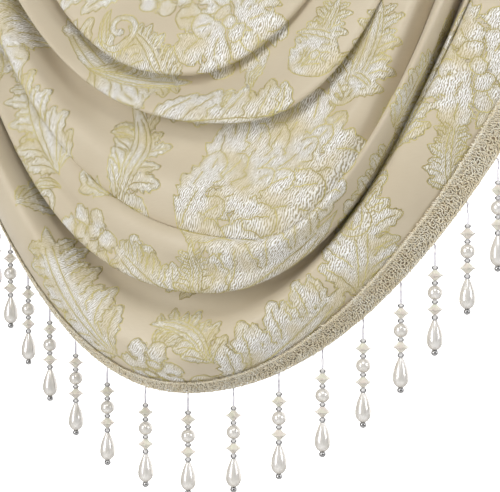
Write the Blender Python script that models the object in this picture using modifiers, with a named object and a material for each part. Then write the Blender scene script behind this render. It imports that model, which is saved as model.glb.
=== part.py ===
"""Swag drape with a braided hem and a beaded fringe.

One cut of damask hangs from a straight top edge in U-shaped folds. A gimp braid is sewn on the
front of its hem, and the narrow tape of a bead fringe lies under the braid.
Metres, +Z up. The front faces -Y. The middle of the top edge is the origin.
"""
import math

import bmesh
import bpy
from mathutils import Vector

# Cloth
CLOTH_THICKNESS = 0.0016
CLOTH_COLUMNS = 36
SHOULDER_PLAN_ANGLE = math.radians(30)
PLEAT_FLATTENING = 0.35
LOW_POINT_ROUNDING = 0.25

# Braid and fringe
BRAID_WIDTH = 0.020
BRAID_THICKNESS = 0.003
BRAID_BELOW_EDGE = 0.004
BRAID_COLUMNS = 72
TAPE_WIDTH = 0.005
TAPE_THICKNESS = 0.0014
SEAM_GAP = 0.0005
STRAND_PITCH = 0.0340
FIRST_STRAND = 0.035
STRAND_ROOT_WIDTH = 0.0020
STRAND_STUB = 0.002
TRIM_ENDS = 0.012

# Finish of each piece: colour, roughness
DAMASK = ("cream_damask", (0.62, 0.54, 0.42), 0.55)
BRAID = ("gimp_braid", (0.66, 0.59, 0.46), 0.85)
BEADS = ("pearl_beads", (0.85, 0.83, 0.79), 0.25)

# A row for each fold, from the top edge down to the hem, in metres.
# left and right: where its line meets the top edge. low_x and low_z: its lowest point.
# left_power and right_power: how its two sides curve.
# forward and ends: how far its middle and its two ends stand out in front of the top edge.
FOLDS = (
    # left, right, low_x, low_z, left_power, right_power, forward, ends
    (-0.125, 0.135, 0.000, 0.000, 2.00, 2.00, 0.000, 0.000),
    (-0.141, 0.148, 0.015, -0.085, 2.20, 2.20, 0.046, 0.003),
    (-0.157, 0.162, 0.028, -0.162, 2.35, 2.17, 0.068, 0.006),
    (-0.190, 0.192, 0.071, -0.196, 2.41, 2.90, 0.092, 0.010),
    (-0.215, 0.227, 0.091, -0.272, 2.38, 2.25, 0.112, 0.003),
    (-0.229, 0.243, 0.052, -0.308, 2.32, 2.57, 0.102, -0.005),
    (-0.262, 0.259, 0.029, -0.350, 1.30, 2.09, 0.098, 0.004),
    (-0.280, 0.328, 0.018, -0.375, 1.93, 2.25, 0.072, -0.018),
)
RIDGE = 6
HEM = 7

# A row for each fold again: how the cloth turns back behind it, at the left, middle and right.
# tuck: depth of the crease under the fold. under: how far the cloth goes back up there, as a
# share of the way to the fold above. valley: depth of an open hollow before the next fold.
TURNS = (
    # tuck left, mid, right, under left, mid, right, valley left, mid, right
    (0.000, 0.000, 0.000, 0.00, 0.00, 0.00, 0.000, 0.000, 0.000),
    (0.014, 0.012, 0.012, 0.12, 0.05, 0.10, 0.000, 0.002, 0.002),
    (0.022, 0.014, 0.008, 0.16, 0.08, 0.04, 0.000, 0.002, 0.006),
    (0.046, 0.018, 0.010, 0.28, 0.14, 0.06, 0.000, 0.002, 0.008),
    (0.030, 0.004, 0.002, 0.20, 0.02, 0.00, 0.004, 0.012, 0.024),
    (0.062, 0.026, 0.002, 0.35, 0.22, 0.00, 0.000, 0.006, 0.022),
)

# The cloth's way round one fold: share of the way from the fold above, then its share of the
# turn under, of the tuck and of the valley.
ROUND_A_FOLD = (
    (-0.42, 0.0, 0.20, 0.25),
    (-0.20, 0.0, 0.04, 0.60),
    (-0.05, 0.0, 0.00, 0.92),
    (0.00, 0.2, 0.14, 1.00),
    (0.01, 0.7, 0.42, 0.85),
    (0.02, 1.0, 0.78, 0.50),
    (0.05, 0.9, 1.00, 0.12),
    (0.14, 0.4, 1.02, -0.18),
    (0.32, 0.0, 0.78, -0.12),
)
# The last panel, from before the ridge to the hem: share of the way, and how far it is set back
# in metres at the left, middle and right.
LAST_PANEL = (
    (-0.42, 0.030, 0.007, 0.006),
    (-0.18, 0.010, 0.001, 0.001),
    (0.00, 0.000, 0.000, 0.000),
    (0.22, -0.005, -0.003, -0.004),
    (0.48, -0.006, -0.003, -0.005),
    (0.74, -0.002, 0.001, -0.003),
    (1.00, 0.012, 0.008, 0.000),
)

# One bead strand, from its root down: distance below the tape and half width, in metres.
STRAND = (
    (0.0120, 0.0008),
    (0.0150, 0.0017),
    (0.0198, 0.0046),
    (0.0245, 0.0016),
    (0.0313, 0.0048),
    (0.0375, 0.0016),
    (0.0424, 0.0046),
    (0.0475, 0.0016),
    (0.0530, 0.0030),
    (0.0628, 0.0053),
    (0.0690, 0.0030),
    (0.0732, 0.0016),
)


def mix(a, b, share):
    return a + (b - a) * share


def side_rise(t, power):
    """Rise of a fold's side from its lowest point, 0 at t = 0 and 1 at t = 1."""
    soft = LOW_POINT_ROUNDING
    return ((t * t + soft * soft) ** (power / 2) - soft ** power) / ((1 + soft * soft) ** (power / 2) - soft ** power)


def fold_line(fold, samples=160):
    """Points on one fold's line, evenly spaced along it from the left end to the right."""
    left, right, low_x, low_z, left_power, right_power, forward, ends = fold
    points = []
    for i in range(samples + 1):
        t = 2 * i / samples - 1
        reach, power = (low_x - left, left_power) if t < 0 else (right - low_x, right_power)
        out = mix(ends, forward, 1 - t * t)
        points.append(Vector((low_x + t * reach, -out, low_z * (1 - side_rise(abs(t), power)))))
    along = [0.0]
    for a, b in zip(points, points[1:]):
        along.append(along[-1] + (b - a).length)
    even = []
    j = 0
    for i in range(samples + 1):
        target = along[-1] * i / samples
        while j < samples - 1 and along[j + 1] < target:
            j += 1
        even.append(points[j].lerp(points[j + 1], (target - along[j]) / (along[j + 1] - along[j])))
    return even


FOLD_LINES = [fold_line(fold) for fold in FOLDS]


def on_fold_line(k, u):
    line = FOLD_LINES[k]
    place = min(max(u, 0.0), 1.0) * (len(line) - 1)
    i = min(int(place), len(line) - 2)
    return line[i].lerp(line[i + 1], place - i)


def section_stations():
    """Stops down the cloth: fold, way, shares of under, tuck and valley, and the set back."""
    level = (0.0, 0.0, 0.0)
    stations = [(0, 0.0, 0.0, 0.0, 0.0, level), (0, 0.25, 0.0, 0.0, 0.0, level)]
    for k in range(1, RIDGE):
        stations += [(k, *shares, level) for shares in ROUND_A_FOLD]
    stations += [(RIDGE, way, 0.0, 0.0, 0.0, tuple(back)) for way, *back in LAST_PANEL]
    return stations


STATIONS = section_stations()


def across(left_mid_right, u):
    """A value given at the left, middle and right, at one share of the way across."""
    left, mid, right = left_mid_right
    toward_side = min(abs(2 * u - 1) / 0.65, 1.0) ** 2
    return mix(mid, left if u < 0.5 else right, toward_side)


def cloth_point(station, u):
    """The cloth's middle surface at one station and one share of the way across."""
    k, way, under, tuck, valley, set_back = station
    turns = TURNS[min(k, len(TURNS) - 1)]
    depth = tuck * across(turns[0:3], u) + valley * across(turns[6:9], u)
    near_end = max(0.0, (abs(2 * u - 1) - 0.7) / 0.3)
    depth *= mix(1.0, PLEAT_FLATTENING, near_end ** 1.5)
    place = k + way - under * across(turns[3:6], u)
    place = min(max(place, 0.0), HEM)
    upper = min(int(place), HEM - 1)
    base = on_fold_line(upper, u).lerp(on_fold_line(upper + 1, u), place - upper)
    turn = SHOULDER_PLAN_ANGLE * (2 * u - 1)
    backward = Vector((-math.sin(turn), math.cos(turn), 0.0))
    return base + backward * (depth + across(set_back, u))


def hem_frame(u):
    """The hem's point, the way down past it in the cloth's plane, and the cloth's front normal."""
    hem = cloth_point(STATIONS[-1], u)
    above = cloth_point(STATIONS[-2], u)
    step = 0.002
    along = cloth_point(STATIONS[-1], min(u + step, 1.0)) - cloth_point(STATIONS[-1], max(u - step, 0.0))
    along.normalize()
    down = hem - above
    down = (down - along * down.dot(along)).normalized()
    front = down.cross(along)
    return hem, along, down, front


def finish(node, piece):
    """Give a piece its name and finish."""
    name, colour, roughness = piece
    material = bpy.data.materials.new(name)
    material.use_nodes = True
    shader = material.node_tree.nodes["Principled BSDF"]
    shader.inputs["Base Color"].default_value = (*colour, 1.0)
    shader.inputs["Roughness"].default_value = roughness
    node.data.materials.append(material)


def sheet(name, columns, rows, place, thickness, piece):
    """A closed sheet: a grid laid by place(column share, row), then given its thickness."""
    mesh = bpy.data.meshes.new(name)
    bm = bmesh.new()
    bmesh.ops.create_grid(bm, x_segments=columns, y_segments=rows, size=0.5)
    for vert in bm.verts:
        column = round((vert.co.x + 0.5) * columns) / columns
        row = round((0.5 - vert.co.y) * rows)
        vert.co = place(column, row)
    bmesh.ops.recalc_face_normals(bm, faces=bm.faces)
    bm.to_mesh(mesh)
    bm.free()
    node = bpy.data.objects.new(name, mesh)
    bpy.context.collection.objects.link(node)
    solidify = node.modifiers.new("thickness", "SOLIDIFY")
    solidify.thickness = thickness
    solidify.offset = 0.0
    solidify.use_rim = True
    finish(node, piece)
    return node


def build_cloth():
    return sheet(
        "swag_cloth", CLOTH_COLUMNS, len(STATIONS) - 1,
        lambda u, row: cloth_point(STATIONS[row], u), CLOTH_THICKNESS, DAMASK,
    )


def build_braid():
    clearance = CLOTH_THICKNESS / 2 + SEAM_GAP + BRAID_THICKNESS / 2
    rows = 3

    def place(share, row):
        u = mix(TRIM_ENDS, 1 - TRIM_ENDS, share)
        hem, along, down, front = hem_frame(u)
        return hem + down * (BRAID_BELOW_EDGE - BRAID_WIDTH * (1 - row / rows)) + front * clearance

    return sheet("hem_braid", BRAID_COLUMNS, rows, place, BRAID_THICKNESS, BRAID)


def strand_places():
    """Shares of the way across at which the strands hang, one pitch apart along the hem."""
    samples = 1200
    places = []
    travelled = STRAND_PITCH - FIRST_STRAND
    before = cloth_point(STATIONS[-1], 0.0)
    for i in range(1, samples + 1):
        here = cloth_point(STATIONS[-1], i / samples)
        travelled += (here - before).length
        before = here
        if travelled >= STRAND_PITCH and i / samples < 1 - 1.5 * TRIM_ENDS:
            places.append(i / samples)
            travelled -= STRAND_PITCH
    return places


def build_fringe():
    """A narrow tape under the braid, with every strand drawn down out of its lower face."""
    hem_length = sum((b - a).length for a, b in zip(FOLD_LINES[HEM], FOLD_LINES[HEM][1:]))
    half_root = STRAND_ROOT_WIDTH / 2 / hem_length
    stops = [TRIM_ENDS]
    hung = []
    for u in strand_places():
        stops.append((stops[-1] + u - half_root) / 2)
        stops.append(u - half_root)
        hung.append((len(stops) - 1, u))
        stops.append(u + half_root)
    stops += [(stops[-1] + 1 - TRIM_ENDS) / 2, 1 - TRIM_ENDS]

    bm = bmesh.new()
    rings = []
    for u in stops:
        hem, along, down, front = hem_frame(u)
        top = hem + down * SEAM_GAP
        bottom = top + down * TAPE_WIDTH
        half = front * (TAPE_THICKNESS / 2)
        rings.append([bm.verts.new(p) for p in (top + half, bottom + half, bottom - half, top - half)])
    lower_faces = []
    for a, b in zip(rings, rings[1:]):
        for i in range(4):
            j = (i + 1) % 4
            face = bm.faces.new((a[i], a[j], b[j], b[i]))
            if i == 1:
                lower_faces.append(face)
    bm.faces.new(rings[0][::-1])
    bm.faces.new(rings[-1])

    for index, u in hung:
        hem, along, down, front = hem_frame(u)
        root = bmesh.ops.extrude_discrete_faces(bm, faces=[lower_faces[index]])["faces"][0]
        bmesh.ops.translate(bm, verts=root.verts, vec=down * STRAND_STUB)
        centre = root.calc_center_median()
        sides = [1.0 if (vert.co - centre).dot(along) > 0 else -1.0 for vert in root.verts]
        backs = [-1.0 if (vert.co - centre).dot(front) > 0 else 1.0 for vert in root.verts]
        for drop, half_width in STRAND:
            root = bmesh.ops.extrude_discrete_faces(bm, faces=[root])["faces"][0]
            for vert, side, back in zip(root.verts, sides, backs):
                vert.co = centre + Vector((side * half_width, back * half_width, -drop))
    bmesh.ops.recalc_face_normals(bm, faces=bm.faces)
    mesh = bpy.data.meshes.new("bead_fringe")
    bm.to_mesh(mesh)
    bm.free()
    node = bpy.data.objects.new("bead_fringe", mesh)
    bpy.context.collection.objects.link(node)
    finish(node, BEADS)
    return node


def main():
    for old in list(bpy.data.objects):
        bpy.data.objects.remove(old, do_unlink=True)
    build_cloth()
    build_braid()
    build_fringe()


main()
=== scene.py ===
"""Looks of the swag drape: its damask cloth, gimp braid and bead fringe, with a studio round them.

Metres, +Z up, the front faces -Y. Flat coordinates are those of the cut cloth before it was hung:
x to the right of its middle, y up from its top edge.
"""
import math

import bpy
import numpy as np
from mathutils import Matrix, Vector


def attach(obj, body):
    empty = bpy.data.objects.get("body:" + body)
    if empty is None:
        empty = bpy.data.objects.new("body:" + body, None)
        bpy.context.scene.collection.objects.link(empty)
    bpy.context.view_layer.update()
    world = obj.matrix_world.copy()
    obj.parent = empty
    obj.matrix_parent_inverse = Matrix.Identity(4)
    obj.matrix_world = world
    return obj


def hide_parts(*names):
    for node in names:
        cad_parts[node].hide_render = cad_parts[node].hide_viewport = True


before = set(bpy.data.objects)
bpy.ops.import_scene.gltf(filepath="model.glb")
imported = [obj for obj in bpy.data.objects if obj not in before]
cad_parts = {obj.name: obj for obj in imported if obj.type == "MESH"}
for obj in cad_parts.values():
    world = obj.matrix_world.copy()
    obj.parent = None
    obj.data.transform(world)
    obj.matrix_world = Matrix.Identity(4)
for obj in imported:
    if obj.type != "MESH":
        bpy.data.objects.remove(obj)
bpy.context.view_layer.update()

# Camera
AZIMUTH = 23.2
ELEVATION = 2.0
TARGET = Vector((0.0625, -0.040, -0.2775))
DISTANCE = 0.90
LENS = 93.6
SENSOR_WIDTH = 36

# Studio: each light's name, azimuth, elevation, distance, width, height and power
LIGHTS = (
    ("high", 24, 50, 1.6, 0.6, 0.6, 7),
    ("window", -26, 10, 1.5, 0.4, 1.1, 10.4),
    ("side", 78, 16, 1.7, 0.5, 0.8, 9),
)
LIGHT_COLOUR = (1.0, 0.995, 0.985)
SKY_COLOUR = (1.0, 0.965, 0.90, 1)
SKY_FALL = {"From Min": -0.6, "From Max": 0.8, "To Min": 0.46, "To Max": 0.14}
# The sweep's section, as y and z, and the y at which its wall begins to shine and is brightest
SWEEP = ((-4.0, -1.3), (2.6, -1.3), (3.4, -1.24), (4.0, -1.05), (4.35, -0.7), (4.4, -0.3), (4.4, 6.0))
SWEEP_HALF_WIDTH = 9.0
SWEEP_SHINES = (2.2, 3.4)

# Cloth
CLOTH_THICKNESS = 0.0014
CLOTH_COLUMNS = 330
ROW_SPACING = 0.00185
BACK_STEP = 3
FLATTEN_STEP = 8
SHOULDER_PLAN_ANGLE = math.radians(30)
PLEAT_FLATTENING = 0.35
LOW_POINT_ROUNDING = 0.25
FOLD_LINE_POINTS = 641
SHORTEST_GAP = 1e-5
TINY = 1e-12
# How far out from the middle the sides' values are reached, and where the pleats begin to flatten
SIDES_FROM = 0.65
PLEATS_FROM = 0.7
PLEATS_SPAN = 0.3

# Finding a flat point on the cloth, by steps from the nearest of a few seeds
SEED_STEP = 9
SEED_BATCH = 2000
LOOKUP_ROUNDS = 14
LARGEST_MOVE = 6
SMALLEST_AREA = 1e-10
LARGEST_MISS = 0.0006

# A row for each fold, from the top edge down to the hem, in metres.
# left and right: where its line meets the top edge. low_x and low_z: its lowest point.
# left_power and right_power: how its two sides curve.
# forward and ends: how far its middle and its two ends stand out in front of the top edge.
FOLDS = (
    # left, right, low_x, low_z, left_power, right_power, forward, ends
    (-0.125, 0.135, 0.000, 0.000, 2.00, 2.00, 0.000, 0.000),
    (-0.141, 0.148, 0.015, -0.085, 2.20, 2.20, 0.046, 0.003),
    (-0.157, 0.162, 0.028, -0.162, 2.35, 2.17, 0.068, 0.006),
    (-0.190, 0.192, 0.071, -0.196, 2.41, 2.90, 0.092, 0.010),
    (-0.215, 0.227, 0.091, -0.272, 2.38, 2.25, 0.112, 0.003),
    (-0.229, 0.243, 0.052, -0.308, 2.32, 2.57, 0.102, -0.005),
    (-0.262, 0.259, 0.029, -0.350, 1.30, 2.09, 0.098, 0.004),
    (-0.280, 0.328, 0.018, -0.375, 1.93, 2.25, 0.072, -0.018),
)
RIDGE = 6
HEM = 7

# A row for each fold again: how the cloth turns back behind it, at the left, middle and right.
# tuck: depth of the crease under the fold. under: how far the cloth goes back up there, as a
# share of the way to the fold above. valley: depth of an open hollow before the next fold.
TURNS = (
    # tuck left, mid, right, under left, mid, right, valley left, mid, right
    (0.000, 0.000, 0.000, 0.00, 0.00, 0.00, 0.000, 0.000, 0.000),
    (0.014, 0.012, 0.012, 0.12, 0.05, 0.10, 0.000, 0.002, 0.002),
    (0.022, 0.014, 0.008, 0.16, 0.08, 0.04, 0.000, 0.002, 0.006),
    (0.046, 0.018, 0.010, 0.28, 0.14, 0.06, 0.000, 0.002, 0.008),
    (0.030, 0.004, 0.002, 0.20, 0.02, 0.00, 0.004, 0.012, 0.024),
    (0.062, 0.026, 0.002, 0.35, 0.22, 0.00, 0.000, 0.006, 0.022),
)

# The cloth's way round one fold: share of the way from the fold above, then its share of the
# turn under, of the tuck and of the valley.
ROUND_A_FOLD = (
    (-0.42, 0.0, 0.20, 0.25),
    (-0.20, 0.0, 0.04, 0.60),
    (-0.05, 0.0, 0.00, 0.92),
    (0.00, 0.2, 0.14, 1.00),
    (0.01, 0.7, 0.42, 0.85),
    (0.02, 1.0, 0.78, 0.50),
    (0.05, 0.9, 1.00, 0.12),
    (0.14, 0.4, 1.02, -0.18),
    (0.32, 0.0, 0.78, -0.12),
)
# The last panel, from before the ridge to the hem: share of the way, and how far it is set back
# in metres at the left, middle and right.
LAST_PANEL = (
    (-0.42, 0.030, 0.007, 0.006),
    (-0.18, 0.010, 0.001, 0.001),
    (0.00, 0.000, 0.000, 0.000),
    (0.22, -0.005, -0.003, -0.004),
    (0.48, -0.006, -0.003, -0.005),
    (0.74, -0.002, 0.001, -0.003),
    (1.00, 0.012, 0.008, 0.000),
)

# Braid
BRAID_WIDTH = 0.020
BRAID_BELOW_EDGE = 0.004
BRAID_CLEARANCE = 0.0022
BRAID_BASE_THICKNESS = 0.0012
CURL_PITCH = 0.00155
CURL_ROWS = 8
CURL_POINTS = 5
CURL_RADIUS = 0.00048
CURL_LEAN = 0.6
CURL_REACH = (0.0032, 0.0044)
CURL_LIFT = (0.0007, 0.0015)
CURL_SWAY = 0.12
CURL_BULGE = 0.20
CURL_SUNK = 0.0004
MIDDLE_BAND = 0.2
MIDDLE_TURN = 0.6
OUTER_TURN = 0.12
EDGE_PITCH = 0.0016
EDGE_INSET = 0.0008
BAND_INSET = 0.0006
BAND_SUNK = 0.0011
# Each corner of the band's section: its share across the band, and how far out it stands
BAND_SECTION = ((-1, 0.6), (-0.72, 1.0), (-0.28, 1.0), (0, 0.6), (-0.1, -0.2), (-0.9, -0.2))
TRIM_ENDS = 0.012
TRIM_STEP = 0.004
HEM_POINTS = 801
HEM_STEP = 0.002

# Fringe
TAPE_WIDTH = 0.005
TAPE_THICKNESS = 0.0010
SEAM_GAP = 0.0005
STRAND_PITCH = 0.0340
FIRST_STRAND = 0.035
STRAND_STUB = 0.002
STRAND_SEARCH_POINTS = 1201
THREAD_RADIUS = 0.0004
THREAD_ASIDE = 0.0005
THREAD_ROOT = 0.003
THREAD_DROPS = (0.007, 0.070)
# How far to its own side a thread lies at each of its four points, below 0 on the other side
THREAD_CROSSING = (1, 1, -1, 0.5)

# The beads of one strand, from its root down: kind, then the drop to its top and its bottom.
STRAND_BEADS = (
    ("clear", 0.0132, 0.0166),
    ("star", 0.0164, 0.0232),
    ("clear", 0.0232, 0.0268),
    ("pearl", 0.0264, 0.0362),
    ("clear", 0.0359, 0.0391),
    ("star", 0.0390, 0.0458),
    ("clear", 0.0458, 0.0498),
    ("drop", 0.0496, 0.0692),
    ("end", 0.0688, 0.0732),
)
# Half widths of each kind of bead, and the facets round it
BEAD_SIZES = {
    "clear": (0.0023, 12),
    "star": (0.0061, 8),
    "pearl": (0.0050, 20),
    "drop": (0.0054, 20),
    "end": (0.0024, 12),
}
# Kinds of bead that are made in a piece of another name
BEAD_GROUPS = {"drop": "pearl", "end": "ends"}

# Star bead: where down its length it is measured, from -1 at its top to 1 at its bottom
STAR_STOPS = (-1, -0.8, -0.6, -0.4, -0.22, -0.1, -0.03, 0.03, 0.1, 0.22, 0.4, 0.6, 0.8, 1)
# Its radius: BEAD_NECK at its ends, STAR_SLOPE more towards its middle, and a rim past STAR_BODY
BEAD_NECK = 0.0015
STAR_SLOPE = 0.0029
STAR_BODY = 0.0044
STAR_FLANGE = 0.24
# Drop bead: share of its length to its widest place, the share below, and how much that closes
DROP_WIDEST = 0.68
DROP_BELOW = 0.32
DROP_CLOSES = 0.9
SMALLEST_RADIUS = 0.0001

# Figures and the gold thread round them
LEAF_POINTS = 31
STEM_POINTS = 41
LEAF_FULLNESS = 0.75
TOOTH_FOOT = 0.74
TOOTH_RISE = 0.44
RIB_START = 3
RIB_END = 0.84
RIB_SPREAD = 0.45
FIGURE_REACH = 0.004
GOLD_STEP = 0.0013
GOLD_HALF_WIDTH = 0.00040
GOLD_HEIGHT = 0.00040
GOLD_SUNK = 0.0001
GOLD_WANDER = 0.13
SHORTEST_RUN = 3

# The damask's figures on the flat cloth, those lower down in the list woven over the others:
# kind, x and y of the foot or centre in millimetres, way it points in degrees, how far it bends
# on the way in degrees (for a scroll, its sign says which way it winds), and size in millimetres.
REPEAT_ACROSS = 0.60
REPEAT_DOWN = 0.34
FIGURES = (
    ("wing", -36, -216, 142, -16, 120),
    ("plume", -86, -182, -14, 20, 76),
    ("plume", -22, -186, 112, 20, 58),
    ("scroll", -58, -138, 200, 1, 13),
    ("rosette", 22, -148, 20, 0, 42),
    ("wing", -40, -226, -20, 38, 116),
    ("leaf", 18, -222, 92, -20, 22),
    ("plume", 64, -200, 44, 16, 60),
    ("scroll", 74, -190, 30, -1, 16),
    ("leaf", 36, -204, 128, -110, 26),
    ("plume", -62, -302, 40, 100, 84),
    ("leaf", -62, -302, 168, -40, 38),
    ("cone", -8, -318, 27, 8, 122),
    ("plume", 100, -240, 56, 22, 80),
    ("scroll", 104, -232, 60, 1, 12),
    ("leaf", 124, -262, 56, 0, 22),
    ("scroll", -126, -312, 120, 1, 13),
    ("rosette", -82, -334, 0, 0, 27),
    ("plume", -112, -290, 128, 14, 104),
    ("rosette", -38, -344, 30, 0, 19),
    ("plume", 6, -376, 160, -24, 78),
    ("wing", 0, -376, 8, 40, 118),
    ("plume", 2, -378, 76, 20, 50),
    ("plume", 166, -306, 80, -14, 84),
    ("plume", 116, -356, 60, 12, 84),
    ("plume", 146, -276, 58, -8, 62),
    ("leaf", 182, -226, 52, 0, 30),
    ("plume", 122, -404, 74, 20, 104),
    ("scroll", 126, -346, 90, -1, 13),
    ("rosette", 232, -262, 0, 0, 46),
    ("plume", 196, -340, 94, -40, 52),
    ("wing", 24, -468, 34, 14, 122),
    ("plume", 20, -436, 110, 90, 62),
    ("rosette", -26, -448, 10, 0, 25),
    ("plume", -52, -446, 150, -16, 118),
    ("wing", -172, -376, 92, -14, 100),
    ("rosette", -196, -196, 20, 0, 36),
    ("plume", -150, -178, 150, 40, 76),
    ("plume", -238, -318, 84, 30, 96),
    ("scroll", -222, -230, 60, 1, 15),
    ("rosette", -272, -262, 0, 0, 34),
    ("plume", -300, -400, 70, 20, 90),
    ("plume", -222, -432, 110, -20, 84),
    ("wing", 128, -164, 52, 40, 96),
    ("rosette", 226, -150, 15, 0, 34),
    ("plume", 262, -168, 40, 30, 60),
    ("wing", -306, -232, 128, -20, 108),
    ("rosette", -352, -300, 0, 0, 36),
    ("plume", -262, -176, 110, 30, 66),
    ("plume", -384, -262, 160, 20, 62),
)


def mix(a, b, share):
    return a + (b - a) * share


def unit(vectors):
    """The same vectors, one metre long."""
    return vectors / np.maximum(np.linalg.norm(vectors, axis=-1, keepdims=True), TINY)


# The hung surface

def side_rise(t, power):
    """Rise of a fold's side from its lowest point, 0 at t = 0 and 1 at t = 1."""
    soft = LOW_POINT_ROUNDING
    top = (1 + soft * soft) ** (power / 2) - soft ** power
    return ((t * t + soft * soft) ** (power / 2) - soft ** power) / top


def fold_line(fold, shares):
    """Points on one fold's line at these shares of its length, from its left end to its right."""
    left, right, low_x, low_z, left_power, right_power, forward, ends = fold
    t = np.linspace(-1, 1, FOLD_LINE_POINTS)
    on_left = t < 0
    reach = np.where(on_left, low_x - left, right - low_x)
    power = np.where(on_left, left_power, right_power)
    x = low_x + t * reach
    y = -mix(ends, forward, 1 - t * t)
    z = low_z * (1 - side_rise(np.abs(t), power))
    points = np.stack((x, y, z), axis=1)
    along = np.append(0.0, np.cumsum(np.linalg.norm(np.diff(points, axis=0), axis=1)))
    return np.stack([np.interp(shares * along[-1], along, points[:, i]) for i in range(3)], axis=1)


def section_stations():
    """Stops down the cloth: fold, way, shares of under, tuck and valley, and the set back."""
    level = (0.0, 0.0, 0.0)
    stations = [(0, 0.0, 0.0, 0.0, 0.0, level), (0, 0.25, 0.0, 0.0, 0.0, level)]
    for k in range(1, RIDGE):
        stations += [(k, *shares, level) for shares in ROUND_A_FOLD]
    stations += [(RIDGE, way, 0.0, 0.0, 0.0, tuple(back)) for way, *back in LAST_PANEL]
    return stations


def across(left_mid_right, u):
    """A value given at the left, middle and right, at these shares of the way across."""
    left, mid, right = left_mid_right
    toward_side = np.minimum(np.abs(2 * u - 1) / SIDES_FROM, 1.0) ** 2
    return mix(mid, np.where(u < 0.5, left, right), toward_side)


def station_points(station, lines, u):
    """The cloth's middle surface at one station, for every column."""
    k, way, under, tuck, valley, set_back = station
    turns = TURNS[min(k, len(TURNS) - 1)]
    depth = tuck * across(turns[0:3], u) + valley * across(turns[6:9], u)
    near_end = np.maximum(0.0, (np.abs(2 * u - 1) - PLEATS_FROM) / PLEATS_SPAN)
    depth = depth * mix(1.0, PLEAT_FLATTENING, near_end ** 1.5)
    place = np.clip(k + way - under * across(turns[3:6], u), 0, HEM)
    upper = np.minimum(place.astype(int), HEM - 1)
    column = np.arange(len(u))
    base = mix(lines[upper, column], lines[upper + 1, column], (place - upper)[:, None])
    turn = SHOULDER_PLAN_ANGLE * (2 * u - 1)
    backward = np.stack((-np.sin(turn), np.cos(turn), np.zeros_like(u)), axis=1)
    return base + backward * (depth + across(set_back, u))[:, None]


def all_stops(u):
    """The cloth's points at every station, for these shares of the way across."""
    lines = np.array([fold_line(fold, u) for fold in FOLDS])
    return [station_points(station, lines, u) for station in section_stations()]


def between(before, a, b, after, share):
    """Points of a smooth curve through four stops, at this share of the way from a to b."""
    knots = [0.0]
    for p, q in ((before, a), (a, b), (b, after)):
        gap = np.maximum(np.linalg.norm(q - p, axis=1, keepdims=True), SHORTEST_GAP)
        knots.append(knots[-1] + gap ** 0.5)
    t = mix(knots[1], knots[2], share)

    def blend(p, q, i, j):
        return (p * (knots[j] - t) + q * (t - knots[i])) / (knots[j] - knots[i])

    first, second, third = blend(before, a, 0, 1), blend(a, b, 1, 2), blend(b, after, 2, 3)
    return blend(blend(first, second, 0, 2), blend(second, third, 1, 3), 1, 2)


def cloth_grid():
    """A fine grid of points on the hung cloth, smooth between the stations."""
    stops = all_stops(np.linspace(0, 1, CLOTH_COLUMNS + 1))
    rows = []
    for j in range(len(stops) - 1):
        a, b = stops[j], stops[j + 1]
        before = stops[j - 1] if j else 2 * a - b
        after = stops[j + 2] if j + 2 < len(stops) else 2 * b - a
        count = max(2, round(float(np.linalg.norm(b - a, axis=1).mean()) / ROW_SPACING))
        rows += [between(before, a, b, after, i / count) for i in range(count)]
    rows.append(stops[-1])
    grid = np.array(rows)
    for _ in range(2):
        grid[1:-1] = grid[1:-1] * 0.5 + (grid[:-2] + grid[2:]) * 0.25
    return grid


def normals_of(grid):
    """The front normal at every point of a grid."""
    return unit(np.cross(np.gradient(grid, axis=0), np.gradient(grid, axis=1)))


def unwrapped(points, quads):
    """Blender's flattening of a mesh with the least stretch, and the mesh's true area."""
    mesh = bpy.data.meshes.new("flattening")
    mesh.from_pydata(points.tolist(), [], quads.tolist())
    mesh.uv_layers.new(name="flat")
    helper = bpy.data.objects.new("flattening", mesh)
    bpy.context.scene.collection.objects.link(helper)
    bpy.context.view_layer.objects.active = helper
    helper.select_set(True)
    bpy.ops.object.mode_set(mode="EDIT")
    bpy.ops.mesh.select_all(action="SELECT")
    bpy.ops.uv.unwrap(method="MINIMUM_STRETCH", iterations=60, margin=0.0)
    bpy.ops.object.mode_set(mode="OBJECT")
    places = np.zeros(len(mesh.loops) * 2)
    mesh.uv_layers["flat"].data.foreach_get("uv", places)
    corners = np.zeros(len(mesh.loops), int)
    mesh.loops.foreach_get("vertex_index", corners)
    found = np.zeros((len(points), 2))
    found[corners] = places.reshape(-1, 2)
    area = sum(face.area for face in mesh.polygons)
    bpy.data.objects.remove(helper, do_unlink=True)
    return found, area


def grid_quads(rows, columns):
    """Corner numbers of the quads of a grid of points."""
    index = np.arange(rows * columns).reshape(rows, columns)
    corners = (index[:-1, :-1], index[1:, :-1], index[1:, 1:], index[:-1, 1:])
    return np.stack(corners, axis=2).reshape(-1, 4)


def every(count, step):
    """Every step-th number below count, and the last one."""
    return np.unique(np.append(np.arange(0, count, step), count - 1))


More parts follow.
